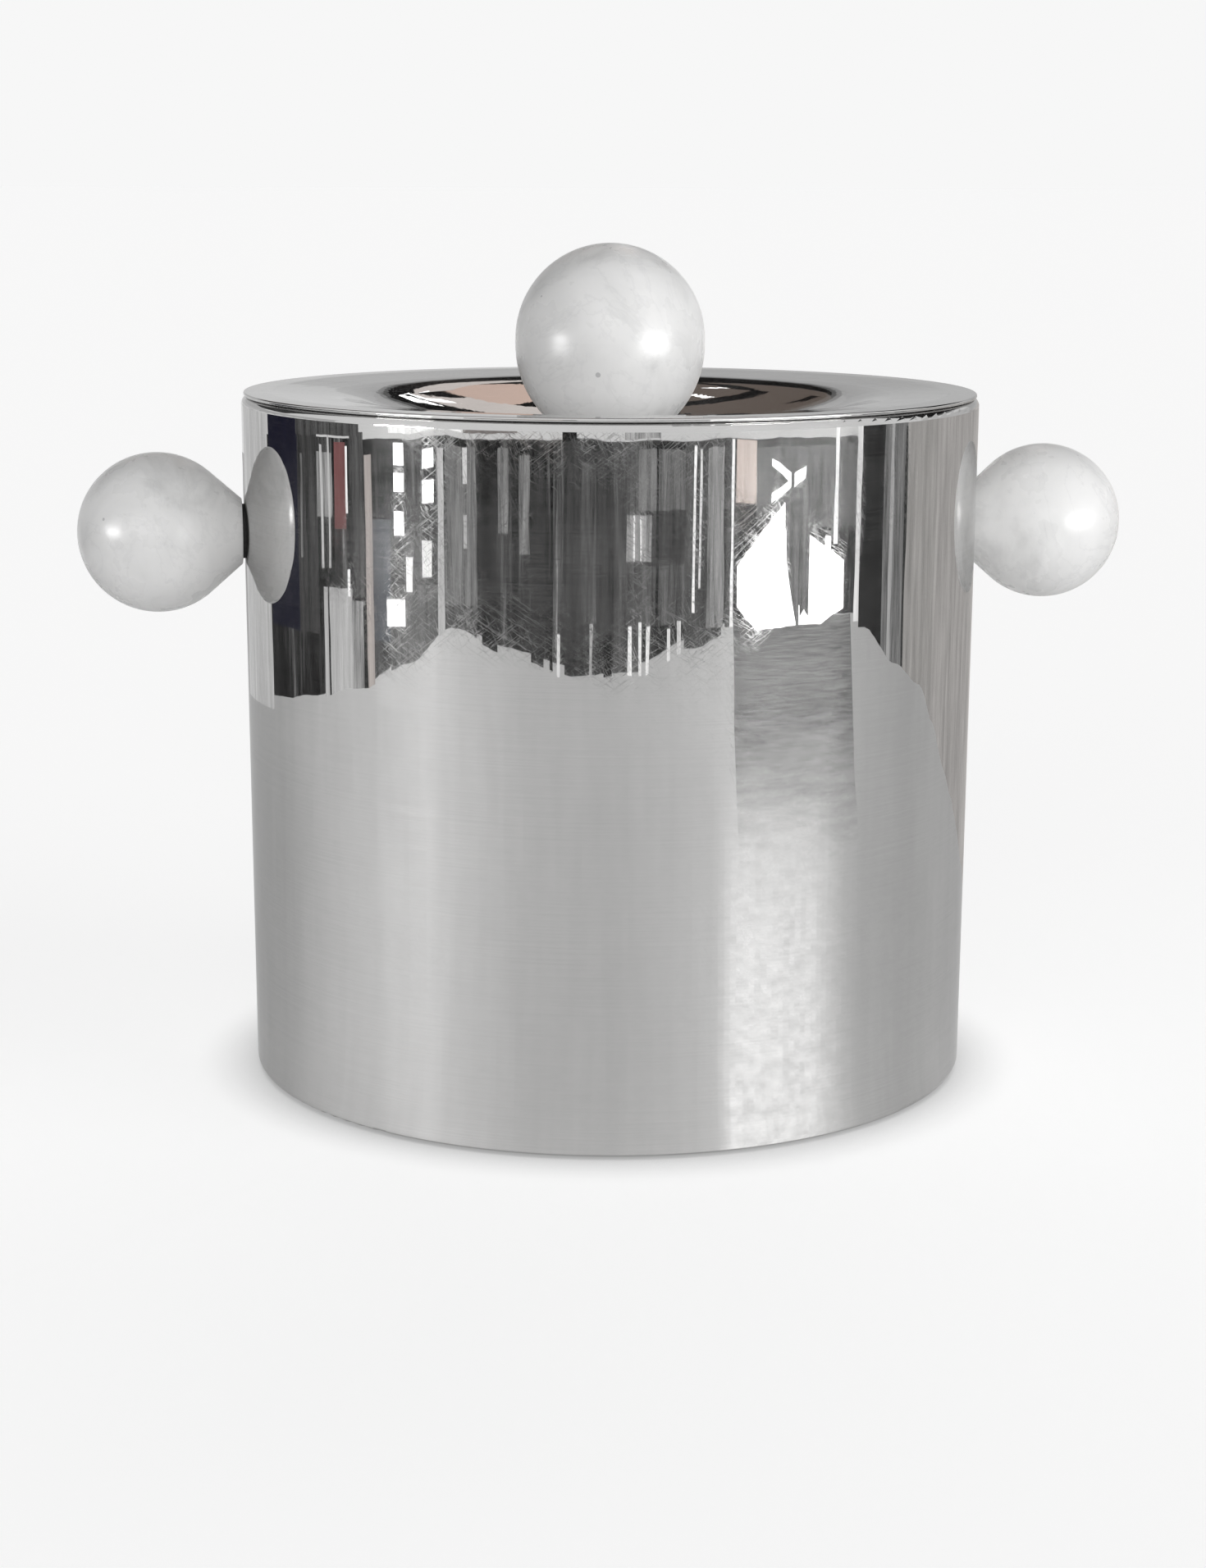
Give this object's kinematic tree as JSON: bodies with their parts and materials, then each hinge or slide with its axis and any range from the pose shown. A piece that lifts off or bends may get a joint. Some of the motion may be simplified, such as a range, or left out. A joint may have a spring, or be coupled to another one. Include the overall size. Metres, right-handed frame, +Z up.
{
  "type": "champagne bucket",
  "caption": "Mirror-polished steel drum bucket with a double wall, a lift-off dished lid with a large marble ball on it, and a smaller marble ball on each side as carrying knobs.",
  "frame": {"origin": "on the table, under the centre of the base", "axes": "+Z up along the drum's axis; +X through the centre of one side knob, so the two side knobs lie along X"},
  "size_m": [0.283, 0.196, 0.2215],
  "materials": {
    "polished_steel": "mirror polished with fine hairline scratches",
    "satin_steel": "satin, turned",
    "marble": "polished white marble with soft grey clouds",
    "brass": "machined",
    "rubber": "matt black",
    "screw_steel": "machined bright steel"
  },
  "bodies": {
    "bucket": {"base_plate": "satin_steel", "foot_ring": "rubber", "inner_liner": "satin_steel", "left_knob": "marble", "left_knob_insert": "brass", "left_knob_screw": "screw_steel", "left_knob_washer": "rubber", "left_lock_washer": "screw_steel", "left_stiffener": "satin_steel", "outer_shell": "polished_steel", "right_knob": "marble", "right_knob_insert": "brass", "right_knob_screw": "screw_steel", "right_knob_washer": "rubber", "right_lock_washer": "screw_steel", "right_stiffener": "satin_steel"},
    "lid": {"lid_dish": "polished_steel", "lid_flat_washer": "screw_steel", "lid_knob": "marble", "lid_knob_insert": "brass", "lid_knob_washer": "rubber", "lid_lock_washer": "screw_steel", "lid_screw": "screw_steel", "lid_skirt": "satin_steel"}
  },
  "joints": [
    {"name": "lid_lift", "type": "slide", "parent": "bucket", "child": "lid", "axis": [0, 0, 1], "range_m": [0, 0.15]}
  ]
}
